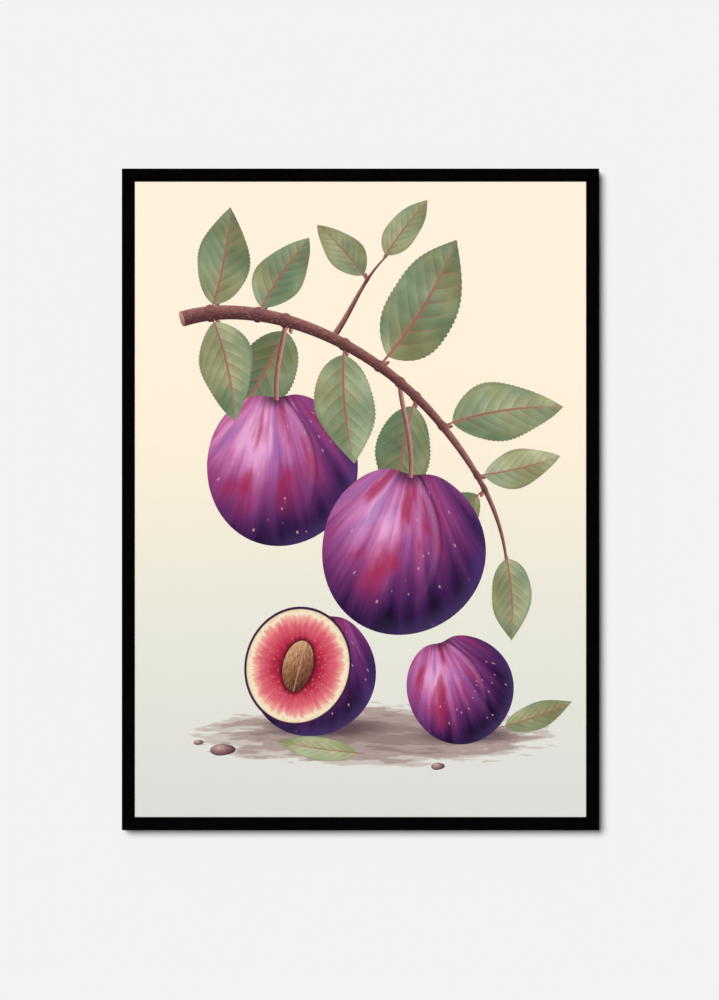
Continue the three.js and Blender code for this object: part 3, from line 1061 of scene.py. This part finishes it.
# %% Plum flesh
FLESH_STOPS = [
    (0.3, (138, 16, 44)), (0.46, (190, 48, 76)), (0.7, (222, 104, 120)),
    (0.82, (238, 172, 158)), (0.88, (248, 234, 206)), (0.95, (234, 214, 176)),
]
STONE_STOPS = [(0.25, (84, 46, 38)), (0.5, (146, 96, 70)), (0.8, (216, 176, 134))]
FLESH_FIBRES = (2.6, 4, 0.6)
FIBRE_NARROW = 5
FLESH_DOT = linear(246, 168, 160)
DOTS_FINE = 13.0
DOT_FADE = (0.3, 0.12)
DOT_REACH_FADE = (0.78, 0.5, 0, 0.3)
SKIN_LINE = linear(66, 28, 70)
SKIN_LINE_FADE = (0.945, 0.965)
HOLLOW = linear(88, 14, 32)
HOLLOW_FADE = (0.54, 0.44, 0, 0.85)
STONE_TALL = 1.55
STONE_FADE = (0.44, 0.42)
FURROWS = (9, 5, 0.7)
STONE_RIDGE = linear(228, 192, 150)
RIDGE_OFF = 0.05
RIDGE_FADE = (0.035, 0, 0, 0.4)


def stone_paint(graph, x, y):
    furrow = graph.noise(*FURROWS, graph.join(x * 3, y, 0.0))
    bark = graph.ramp(furrow + (y - x) * 0.5, STONE_STOPS)
    ridge = graph.ease(abs(x * STONE_TALL - RIDGE_OFF), *RIDGE_FADE)
    return graph.mix(ridge, bark, STONE_RIDGE)


def flesh_paint(graph, x, y):
    reach = distance_from(x, y, (0, 0))
    outwards = graph.join(x / reach * FIBRE_NARROW, y / reach * FIBRE_NARROW, reach * 1.2)
    fibre = graph.noise(*FLESH_FIBRES, outwards)
    colour = graph.ramp(reach + (fibre - 0.5) * 0.34, FLESH_STOPS)
    spots = graph.node("TexVoronoi", {"Vector": graph.join(x, y, 0.0), "Scale": DOTS_FINE})
    dots = graph.ease(spots, *DOT_FADE) * graph.ease(reach, *DOT_REACH_FADE)
    colour = graph.mix(dots, colour, FLESH_DOT)
    colour = graph.mix(graph.ease(reach, *SKIN_LINE_FADE), colour, SKIN_LINE)
    stone = distance_from(x * STONE_TALL, y, (0, 0))
    colour = graph.mix(graph.ease(stone, *HOLLOW_FADE), colour, HOLLOW)
    return graph.mix(graph.ease(stone, *STONE_FADE), colour, stone_paint(graph, x, y))


print("flesh from", len(FLESH_STOPS), "tones, stone from", len(STONE_STOPS))

# %% [markdown]
# ## The picture: wood and pebbles
# A branch is round, so it is light above and dark below, with streaks along it and pale pores. A pebble is
# a small disc lit from the upper left.

# %% Wood and pebble
WOOD_STOPS = [(0.0, (56, 32, 38)), (0.35, (98, 58, 60)), (0.65, (146, 98, 94)), (1.0, (196, 150, 136))]
WOOD_PORE = linear(206, 172, 156)
WOOD_STREAKS = (4, 5, 0.65)
WOOD_PORES = (5, 2, 0.5)
WOOD_PORE_FADE = (0.62, 0.7, 0, 0.35)
WOOD_SEED = 9
PEBBLE_STOPS = [(0.0, (196, 168, 162)), (0.4, (150, 112, 112)), (0.85, (84, 54, 62))]
PEBBLE_LIGHT_AT = (-0.3, 0.35)


def wood_paint(graph, x, y, tone):
    streak = graph.noise(*WOOD_STREAKS, graph.join(x * 5, y * 1.1, tone * WOOD_SEED))
    depth = 0.48 + y * 0.34 + (streak - 0.5) * 0.9 + (tone - 0.5) * 0.8
    pores = graph.noise(*WOOD_PORES, graph.join(x * 9, y * 0.5, tone))
    return graph.mix(graph.ease(pores, *WOOD_PORE_FADE), graph.ramp(depth, WOOD_STOPS), WOOD_PORE)


def pebble_paint(graph, x, y, tone, fine):
    depth = distance_from(x, y, PEBBLE_LIGHT_AT) * 0.7 + (fine - 0.5) * 0.4 - tone * 0.2
    return graph.ramp(depth, PEBBLE_STOPS)


print("wood from", len(WOOD_STOPS), "tones")

# %% [markdown]
# ## The picture: the ground
# The ground isn't a shape with an outline. It is three washes laid on the bare paper, each where a
# stretched noise less the distance from a middle is high enough, so that its edges break up as a dry brush
# leaves them. A soft dark patch lies under each plum.

# %% Ground
BRUSH = (1.7, 5, 0.6)
GROUND_AT = (14, -256)
GROUND_HALF = (196, 36)
GROUND_WASHES = [
    ((0.1, 0.14, 0, 0.75), linear(196, 182, 174)), ((0.19, 0.24, 0, 0.8), linear(168, 146, 140)),
    ((0.32, 0.42, 0, 0.6), linear(136, 110, 108)),
]
CAST_SHADOWS = [((-38, -248), (84, 15)), ((118, -256), (70, 12))]
CAST_SHADOW = linear(84, 58, 70)
CAST_SHADOW_FADE = (1, 0.35, 0, 0.8)


def within(across, up, at, half):
    """A place on the print as shares of half a width and half a height from a middle."""
    return (across - at[0]) * (1 / half[0]), (up - at[1]) * (1 / half[1])


def ground_paint(graph, across, up, colour):
    x, y = within(across, up, GROUND_AT, GROUND_HALF)
    brush = graph.noise(*BRUSH, graph.join(x * 2.2, y * 2.8, 0.0))
    cover = brush * 0.9 - (x * x * 0.75 + y * y * 0.8) * 0.5
    for fade, wash in GROUND_WASHES:
        colour = graph.mix(graph.ease(cover, *fade), colour, wash)
    for at, half in CAST_SHADOWS:
        reach = distance_from(*within(across, up, at, half), (0, 0))
        colour = graph.mix(graph.ease(reach, *CAST_SHADOW_FADE), colour, CAST_SHADOW)
    return colour


print("ground from", len(GROUND_WASHES), "washes and", len(CAST_SHADOWS), "shadows")

# %% [markdown]
# ## The picture: paper and print
# The bare paper is a wash of its own, from warm cream at the top to cool grey at the foot. The sheet shades
# every face with all the paints and keeps the one whose number the face carries. Paper throws back less
# light than its printed colour says, so the whole is a little darker, and its fibres are a faint bump.

# %% Paper and print
PAPER_STOPS = [
    (0.0, (221, 222, 218)), (0.3, (233, 232, 220)), (0.6, (253, 240, 218)),
    (1.0, (255, 242, 222)),
]
MOTTLING = (24, 3, 0.5)
FINE_MOTTLING = (320, 4, 0.65)
PAPER_LIGHT = 0.93
FIBRE_DEPTH = 0.01 * MM
SAME_PAINT = 0.25


def artwork(graph):
    place = graph.node("TexCoord", output="Object")
    across = (graph.part(place, "X") - sheet_middle.x) * (1 / MM)
    up = (graph.part(place, "Z") - sheet_middle.z) * (1 / MM)
    share = up * (MM / sheet_size.z) + 0.5
    mottle = graph.noise(*MOTTLING, place)
    fine = graph.noise(*FINE_MOTTLING, place)
    own = graph.node("UVMap", uv_map="own_plane")
    x, y = graph.part(own, "X"), graph.part(own, "Y")
    known = graph.node("Attribute", output="Vector", attribute_name="traits")
    paint, tone, bend = (graph.part(known, axis) for axis in "XYZ")
    colour = ground_paint(graph, across, up, graph.ramp(share, PAPER_STOPS))
    colours = {
        "wood": wood_paint(graph, x, y, tone),
        "leaf": leaf_paint(graph, x, y, tone, bend, mottle, fine),
        "skin": skin_paint(graph, x, y, tone, mottle),
        "flesh": flesh_paint(graph, x, y),
        "pebble": pebble_paint(graph, x, y, tone, fine),
    }
    for name, painted in colours.items():
        chosen = paint.math("COMPARE", PAINTS.index(name), SAME_PAINT)
        colour = graph.mix(chosen, colour, painted)
    dimmed = {0: 1.0, 6: colour, 7: (PAPER_LIGHT, PAPER_LIGHT, PAPER_LIGHT)}
    colour = graph.node("Mix", dimmed, output=2, data_type="RGBA", blend_type="MULTIPLY")
    return {"Base Color": colour, "Roughness": 0.82 + fine * 0.1}, fine, FIBRE_DEPTH


paper = surface("art_paper", artwork)
art_print = show("art_print", sheet, paper, "frame", ["print_sheet"])
print("print set")

# %% [markdown]
# ## The light on the picture
# A lip as thin as this one throws no shadow that can be seen on the print, but the slanting key light
# would draw one. So the key light leaves the print out, and a lamp that shines straight at the wall lights
# the print alone.

# %% Picture light
PICTURE_LIGHT = 3.71
PICTURE_LIGHT_ANGLE = 1

picture_light = lamp("picture_light", "SUN", PICTURE_LIGHT, (0, 1, 0))
picture_light.data.angle = math.radians(PICTURE_LIGHT_ANGLE)
picture_light.visible_glossy = False
link_light(picture_light, [art_print], "INCLUDE")
link_light(sun, [art_print], "EXCLUDE")
print("print lit from the front")

# %% [markdown]
# ## The filler card
# Behind the print lies a thick corrugated card that presses it flat. A block would do while the board is
# on, but the cut edge of such a card is what makes it light and stiff, so it is built as it is made: three
# flat liners with two waved sheets glued between them, a coarse and a fine one. A waved sheet starts as a
# strip of squares, whose corners are moved to a sine curve before it gets its thickness.

# %% Corrugated card
LINER = 0.4 * MM
COARSE_SHARE = 0.58
COARSE_PITCH = 7.8 * MM
FINE_PITCH = 6.4 * MM
WAVE_STEPS = 12
SQUARE_ON = Matrix.Rotation(math.radians(90), 4, "X")

filler_low, filler_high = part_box("filler_card")
filler_size = filler_high - filler_low
filler_middle = (filler_low + filler_high) / 2
hollow = filler_size.y - 3 * LINER
ROOMS = [hollow * COARSE_SHARE, hollow * (1 - COARSE_SHARE)]


def box_at(place, size):
    """The matrix that makes a unit cube a box of this size round a place."""
    return Matrix.Translation(place) @ Matrix.Diagonal((*size, 1))


def liner(shape, low):
    place = (filler_middle.x, low + LINER / 2, filler_middle.z)
    bmesh.ops.create_cube(shape, size=1, matrix=box_at(place, (filler_size.x, LINER, filler_size.z)))


def fluting(shape, low, room, pitch):
    """A waved sheet, whose crests reach a quarter of a liner into the glue on both sides."""
    waves = round(filler_size.x / pitch)
    place = (filler_middle.x, low + room / 2, filler_middle.z)
    lay = box_at(place, (filler_size.x, 1, filler_size.z)) @ SQUARE_ON
    corners = bmesh.ops.create_grid(
        shape, x_segments=waves * WAVE_STEPS, y_segments=1, size=0.5, matrix=lay
    )["verts"]
    swing = (room - LINER / 2) / 2
    for corner in corners:
        share = (corner.co.x - filler_low.x) / filler_size.x
        corner.co.y += math.sin(share * waves * math.tau) * swing
    faces = list({face for corner in corners for face in corner.link_faces})
    bmesh.ops.solidify(shape, geom=faces, thickness=LINER)


card = bmesh.new()
depth = filler_low.y
for room, pitch in zip(ROOMS, (COARSE_PITCH, FINE_PITCH)):
    liner(card, depth)
    fluting(card, depth + LINER, room, pitch)
    depth += LINER + room
liner(card, depth)
bmesh.ops.recalc_face_normals(card, faces=card.faces)
print("card with", [round(filler_size.x / pitch) for pitch in (COARSE_PITCH, FINE_PITCH)], "waves")

# %% [markdown]
# ## The card's finish
# The card is brown kraft paper, matt and a little patchy. Its fibres are fine specks, and its longer strands
# are a noise stretched up and down, along the waves.

# %% Card finish
CARD_BROWN = linear(165, 128, 86)
CARD_PALE = linear(190, 154, 110)
CARD_FADE = (0.3, 0.7)
CARD_FIBRES = (700, 5, 0.7)
CARD_STRANDS = (260, 4, 0.7)
CARD_STRETCH = 0.2
CARD_DEPTH = 0.05 * MM


def corrugated(graph):
    place = graph.coordinates()
    fibre = graph.noise(*CARD_FIBRES, place)
    strand = graph.noise(*CARD_STRANDS, graph.coordinates(scale=(1, 1, CARD_STRETCH)))
    tone = graph.ease(fibre * 0.6 + strand * 0.4, *CARD_FADE)
    return {
        "Base Color": graph.mix(tone, CARD_BROWN, CARD_PALE),
        "Roughness": 0.82 + fibre * 0.14,
    }, fibre, CARD_DEPTH


kraft = surface("corrugated_card", corrugated)
show("corrugated_filler", card, kraft, "frame", ["filler_card"])
print("card set")

# %% [markdown]
# ## The back board
# The back is closed by thin hardboard, which is wood fibre pressed flat. From afar it is an even brown with
# faint clouds. Near to it short dark strands lie in it every way, so the pattern takes the strongest of
# four stretched noises, each turned another way.

# %% Hardboard
BOARD_ROUNDING = 0.25 * MM
BOARD_BROWN = linear(128, 93, 62)
BOARD_PALE = linear(156, 119, 83)
BOARD_FADE = (0.3, 0.7)
BOARD_FIBRES = (1100, 6, 0.7)
BOARD_CLOUDS = (9, 5, 0.55)
BOARD_DEPTH = 0.08 * MM
STRANDS = (420, 4, 0.6)
STRAND_TURNS = (10, 55, 100, 145)
STRAND_STRETCH = 0.22
STRAND_FADE = (0.62, 0.76)
STRAND_BROWN = linear(94, 64, 42)


def hardboard(graph):
    place = graph.coordinates()
    fibre = graph.noise(*BOARD_FIBRES, place)
    strongest = 0.0
    for turn in STRAND_TURNS:
        lain = graph.noise(*STRANDS, graph.coordinates(scale=(1, 1, STRAND_STRETCH), turn=turn))
        strongest = lain.math("MAXIMUM", strongest)
    strand = graph.ease(strongest, *STRAND_FADE)
    cloud = graph.noise(*BOARD_CLOUDS, place)
    tone = graph.ease(fibre * 0.7 + cloud * 0.3, *BOARD_FADE)
    colour = graph.mix(tone, BOARD_BROWN, BOARD_PALE)
    return {
        "Base Color": graph.mix(strand * 0.55, colour, STRAND_BROWN),
        "Roughness": 0.6 + fibre * 0.22,
    }, fibre - strand * 0.3, BOARD_DEPTH


board = rounded_copy("back_board", BOARD_ROUNDING)
show("hardboard_back", board, surface("hardboard", hardboard), "frame", ["back_board"])
print("back board set")

# %% [markdown]
# ## Steel that is bent and stamped
# The turn buttons, the sawtooth hangers and the V-nails are stamped from zinc-plated strip, so their solids
# are right and only need soft edges. Zinc is a bright grey metal, a little cloudy, with fine scratches. A
# turn button swivels on its screw, so it rides on a body of its own, and the record says which.

# %% Stamped steel
STAMPED = {
    "turn_button": 0.2 * MM, "hanger_top": 0.12 * MM, "hanger_right": 0.12 * MM, "v_nail": 0.08 * MM,
}
ZINC_DULL = (0.50, 0.51, 0.53)
ZINC_BRIGHT = (0.72, 0.72, 0.71)
ZINC_CLOUDS = (260, 4, 0.6)
SPANGLE_FINE = 900.0
SCRATCHES = (2500, 2, 0.5)
SCRATCH_STRETCH = 0.12
SCRATCH_DEPTH = 0.01 * MM
BODIES = frame["record"]["behaviour"]["bodies"]

body_of = {node: body for body, nodes in BODIES.items() for node in nodes}


def zinc(graph):
    place = graph.coordinates()
    cloud = graph.noise(*ZINC_CLOUDS, place)
    spangle = graph.node("TexVoronoi", {"Vector": place, "Scale": SPANGLE_FINE})
    scratch = graph.noise(*SCRATCHES, graph.coordinates(scale=(1, 1, SCRATCH_STRETCH)))
    return {
        "Base Color": graph.mix(cloud * 0.8 + spangle * 0.2, ZINC_DULL, ZINC_BRIGHT),
        "Metallic": 1.0,
        "Roughness": 0.24 + cloud * 0.18 + scratch * 0.08,
    }, scratch, SCRATCH_DEPTH


zinc_steel = surface("zinc_steel", zinc)
for kind, rounding in STAMPED.items():
    for node in named(kind):
        strip = rounded_copy(node, rounding)
        show(node + "_steel", strip, zinc_steel, body_of[node], [node])
print("turn buttons on", len(BODIES) - 1, "bodies of their own")

# %% [markdown]
# ## Turned pieces
# Screws, nails and bumpers are round, and the solids show that with few flat sides. Here each is a profile
# spun about its own axis, which runs from the frame to the wall. A profile is a list of radii and depths
# from the tip to the top, and its first and last corners lie on the axis, so that the shape is closed.

# %% Spinning
SPIN_STEPS = 40
SHOULDER_STEPS = 6


def shoulder(wide, narrow, low, high):
    """A rounded shoulder on a quarter of an ellipse, from (wide, low) up and in to (narrow, high)."""
    turns = [math.pi / 2 * step / SHOULDER_STEPS for step in range(SHOULDER_STEPS + 1)]
    return [
        (narrow + (wide - narrow) * math.cos(turn), low + (high - low) * math.sin(turn)) for turn in turns
    ]


def spun(profile, node, rounding):
    """A profile in millimetres, spun about the axis through the middle of a solid, from its top down."""
    low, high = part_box(node)
    top = Vector(((low.x + high.x) / 2, high.y, (low.z + high.z) / 2))
    shape = bmesh.new()
    corners = [shape.verts.new(top + Vector((radius, depth, 0)) * MM) for radius, depth in profile]
    edges = [shape.edges.new(pair) for pair in zip(corners, corners[1:])]
    bmesh.ops.spin(
        shape, geom=corners + edges, cent=top, axis=(0, 1, 0), angle=math.tau, steps=SPIN_STEPS,
        use_merge=True,
    )
    bmesh.ops.remove_doubles(shape, verts=shape.verts, dist=MERGE)
    bmesh.ops.recalc_face_normals(shape, faces=shape.faces)
    round_edges(shape, SMOOTH, rounding, 2)
    return shape, top


print("shoulder of", len(shoulder(2, 1, 0, 1)), "corners")

# %% [markdown]
# ## Screws and nails
# The screws and nails have a pointed shank and a domed head. A nail's head is plain. The cross in a screw's
# head is cut out with a Boolean modifier, one bar after the other, as a punch would sink it.

# %% Cutting
def cut_out(shape, tool):
    """What is left of one bmesh where another is taken away."""
    whole, knife = placed("cutting", shape), placed("cutting", tool)
    whole.modifiers.new("cut", "BOOLEAN").object = knife
    left = bmesh.new()
    left.from_object(whole, bpy.context.evaluated_depsgraph_get())
    bmesh.ops.remove_doubles(left, verts=left.verts, dist=MERGE)
    bmesh.ops.dissolve_degenerate(left, dist=MERGE, edges=left.edges)
    for spent in (whole, knife):
        bpy.data.objects.remove(spent)
    return left


print("cutting merges corners within", round(MERGE / MM, 3), "mm")

# %% Screws and nails
SCREW = {"length": 12, "shank": 1.25, "point": 2, "head": 2.75, "flat": 1.5, "thick": 1.5, "rim": 0.5}
NAIL = {
    "length": 9.75, "shank": 0.75, "point": 1.5, "head": 1.75, "flat": 0.75, "thick": 0.625, "rim": 0.25,
}
CROSS_LENGTH = 3
CROSS_WIDTH = 0.625
CROSS_DEPTH = 0.75
HEAD_ROUNDING = 0.06 * MM


def headed(length, shank, point, head, flat, thick, rim):
    """The profile of a shank with a domed head."""
    dome = shoulder(head, flat, rim - thick, 0)
    return [(0, -length), (shank, point - length), (shank, -thick), (head, -thick), *dome, (0, 0)]


def punched(shape, top, across, along):
    """Sinks one bar of the cross into a head."""
    size = Vector((across, CROSS_DEPTH * 2, along)) * MM
    bar = bmesh.new()
    bmesh.ops.create_cube(bar, size=1, matrix=box_at(top, size))
    return cut_out(shape, bar)


for node in named("button_screw"):
    screw, top = spun(headed(**SCREW), node, HEAD_ROUNDING)
    screw = punched(screw, top, CROSS_WIDTH, CROSS_LENGTH)
    screw = punched(screw, top, CROSS_LENGTH, CROSS_WIDTH)
    show(node + "_steel", screw, zinc_steel, body_of[node], [node])
for node in named("hanger_nail"):
    nail, _ = spun(headed(**NAIL), node, HEAD_ROUNDING)
    show(node + "_steel", nail, zinc_steel, body_of[node], [node])
print("screws and nails set")

# %% [markdown]
# ## Wall bumpers
# Four rubber feet keep the frame level and off the wall. Moulded rubber is a soft black that never shines,
# with a fine grain and some dust on it.

# %% Bumpers
BUMPER_LONG = 3.5
BUMPER_HALF = 4
BUMPER_FACE = 2.5
BUMPER_RIM = 1.5
BUMPER_ROUNDING = 0.15 * MM
RUBBER = (0.012, 0.012, 0.013)
RUBBER_GRAIN = (2500, 3, 0.6)
RUBBER_DEPTH = 0.03 * MM
DUSTY = (0.045, 0.044, 0.042)
DUST = (300, 4, 0.6)
DUST_FADE = (0.5, 0.8)

crown = shoulder(BUMPER_HALF, BUMPER_FACE, BUMPER_RIM - BUMPER_LONG, 0)
bumper = [(0, -BUMPER_LONG), (BUMPER_HALF, -BUMPER_LONG), *crown, (0, 0)]


def rubber(graph):
    grain = graph.noise(*RUBBER_GRAIN, graph.coordinates())
    dust = graph.ease(graph.noise(*DUST, graph.coordinates()), *DUST_FADE)
    return {
        "Base Color": graph.mix(dust, RUBBER, DUSTY),
        "Roughness": 0.62 + grain * 0.2,
    }, grain, RUBBER_DEPTH


bumper_rubber = surface("bumper_rubber", rubber)
for node in named("bumper"):
    foot, _ = spun(bumper, node, BUMPER_ROUNDING)
    show(node + "_rubber", foot, bumper_rubber, body_of[node], [node])
print("bumpers set")
